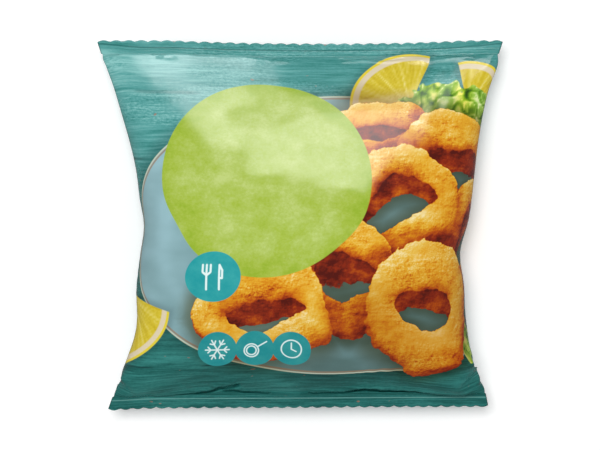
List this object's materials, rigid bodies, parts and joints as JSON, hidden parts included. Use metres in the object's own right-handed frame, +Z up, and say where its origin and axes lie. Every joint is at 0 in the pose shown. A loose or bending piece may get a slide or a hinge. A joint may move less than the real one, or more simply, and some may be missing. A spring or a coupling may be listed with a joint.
{
  "type": "frozen food pillow pack",
  "caption": "Closed, full pillow pack of printed film with crimped, scalloped end seals and a fin seal down its back, lying on its back.",
  "frame": {"origin": "bottom centre of the lying pack's own box, on the surface it rests on", "axes": "+X across the pack along its end seals, +Y from the bottom seal to the top seal, +Z up out of the printed front"},
  "size_m": [0.2198, 0.2008, 0.0728],
  "materials": {
    "printed_film": "satin-gloss printed film"
  },
  "bodies": {
    "root": {"pack": "printed_film"}
  },
  "joints": []
}
